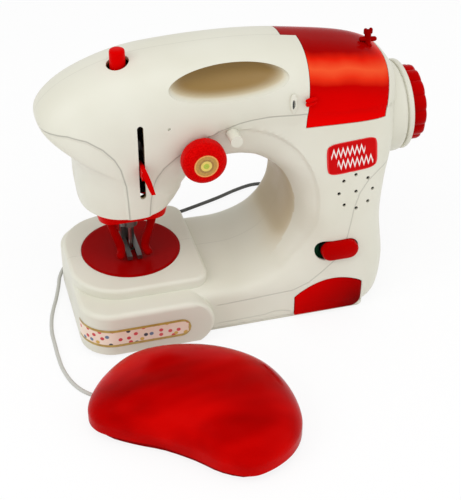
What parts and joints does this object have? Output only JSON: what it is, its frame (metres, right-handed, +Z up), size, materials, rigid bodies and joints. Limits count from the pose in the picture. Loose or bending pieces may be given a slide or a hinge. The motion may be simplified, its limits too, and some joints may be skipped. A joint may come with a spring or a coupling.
{
  "type": "toy sewing machine",
  "caption": "White toy sewing machine with red hand wheel, tension knob, hinged cover, drawer and slide switch, a sliding needle and presser foot, and a red mouse-shaped foot pedal on a cord.",
  "frame": {"origin": "on the table plane under the machine, on the parting plane of the half shells", "axes": "+Z up, +X towards the hand wheel, -Y towards the user"},
  "size_m": [0.2382, 0.282, 0.1775],
  "materials": {
    "white_plastic": "warm ivory-white moulded plastic, satin gloss",
    "red_plastic": "opaque glossy red moulded plastic",
    "clear_red": "deep red tinted plastic, polished, slightly see-through",
    "pedal_red": "red moulded plastic",
    "grey_plastic": "pale grey moulded plastic",
    "gear_white": "natural white acetal",
    "dark_plastic": "black plastic",
    "steel": "plain drawn steel",
    "bush_brass": "turned brass",
    "cell_jacket": "plain cell jacket, no print",
    "board_green": "green circuit board",
    "thread_orange": "spool wound with orange thread",
    "cord_grey": "soft grey cable jacket"
  },
  "bodies": {
    "machine": {"front_shell": "white_plastic", "rear_shell": "white_plastic", "base_plate": "white_plastic", "battery_door": "white_plastic", "wheel_flange": "white_plastic", "thread_post": "white_plastic", "cover_ears": "white_plastic", "needle_plate": "red_plastic", "collar": "red_plastic", "needle_guard": "red_plastic", "pedal_base": "pedal_red", "motor_frame": "grey_plastic", "spool_tray": "grey_plastic", "spool_pin": "grey_plastic", "machine_gland": "grey_plastic", "pedal_gland": "grey_plastic", "head_frame": "dark_plastic", "switch_body": "dark_plastic", "speaker": "dark_plastic", "pedal_switch": "dark_plastic", "case_screws": "steel", "battery_contacts": "steel", "motor": "steel", "tension_spindle": "steel", "button_spring": "steel", "cover_pin": "steel", "pedal_pin": "steel", "pedal_spring": "steel", "left_bush": "bush_brass", "right_bush": "bush_brass", "batteries": "cell_jacket", "circuit_board": "board_green", "pedal_cord": "cord_grey"},
    "drive": {"hand_wheel": "red_plastic", "main_shaft": "steel", "drive_gear": "gear_white", "crank_disc": "grey_plastic"},
    "rotor": {"motor_shaft": "steel", "motor_pinion": "gear_white"},
    "needle_unit": {"needle_bar": "steel", "needle_clamp": "steel", "needle": "steel", "take_up_lever": "red_plastic"},
    "presser": {"presser_bar": "steel", "presser_foot": "steel"},
    "knob": {"tension_knob": "red_plastic"},
    "button": {"push_button": "red_plastic"},
    "lid": {"cover": "clear_red", "cover_barrel": "clear_red"},
    "spool": {"thread_spool": "thread_orange"},
    "slider": {"switch_slider": "red_plastic"},
    "drawer": {"drawer_front": "clear_red", "drawer_tray": "white_plastic"},
    "pedal": {"pedal_top": "clear_red", "pedal_lugs": "clear_red"}
  },
  "joints": [
    {"name": "drive_spin", "type": "hinge", "parent": "machine", "child": "drive", "pos_m": [0, 0, 0.114], "axis": [1, 0, 0], "continuous": true},
    {"name": "rotor_spin", "type": "hinge", "parent": "machine", "child": "rotor", "pos_m": [0.079, 0, 0.089], "axis": [1, 0, 0], "continuous": true},
    {"name": "needle_slide", "type": "slide", "parent": "machine", "child": "needle_unit", "axis": [0, 0, 1], "range_m": [-0.005, 0.011]},
    {"name": "presser_lift", "type": "slide", "parent": "machine", "child": "presser", "axis": [0, 0, 1], "range_m": [0, 0.006]},
    {"name": "knob_turn", "type": "hinge", "parent": "machine", "child": "knob", "pos_m": [-0.027, -0.04, 0.119], "axis": [0, 1, 0], "range_deg": [-150, 150]},
    {"name": "button_press", "type": "slide", "parent": "machine", "child": "button", "axis": [0, 0, -1], "range_m": [0, 0.004], "stiffness_N_per_m": 300, "springref_m": -0.002, "deforming": ["button_spring"]},
    {"name": "cover_open", "type": "hinge", "parent": "machine", "child": "lid", "pos_m": [0.052, 0.03525, 0.1491], "axis": [-0.9829, 0, 0.184], "range_deg": [0, 95]},
    {"name": "spool_spin", "type": "hinge", "parent": "machine", "child": "spool", "pos_m": [0.052, -0.004, 0.139], "axis": [0, 0, 1], "continuous": true},
    {"name": "switch_slide", "type": "slide", "parent": "machine", "child": "slider", "axis": [1, 0, 0], "range_m": [-0.0032, 0]},
    {"name": "drawer_pull", "type": "slide", "parent": "machine", "child": "drawer", "axis": [0, -1, 0], "range_m": [0, 0.03]},
    {"name": "pedal_press", "type": "hinge", "parent": "machine", "child": "pedal", "pos_m": [-0.01836, -0.13816, 0.011], "axis": [-0.454, -0.891, 0], "range_deg": [0, 1.2], "stiffness_Nm_per_rad": 2, "springref_deg": -1.15, "deforming": ["pedal_spring"]}
  ],
  "couplings": [
    {"joint": "rotor_spin", "follows": "drive_spin", "ratio": -4}
  ]
}
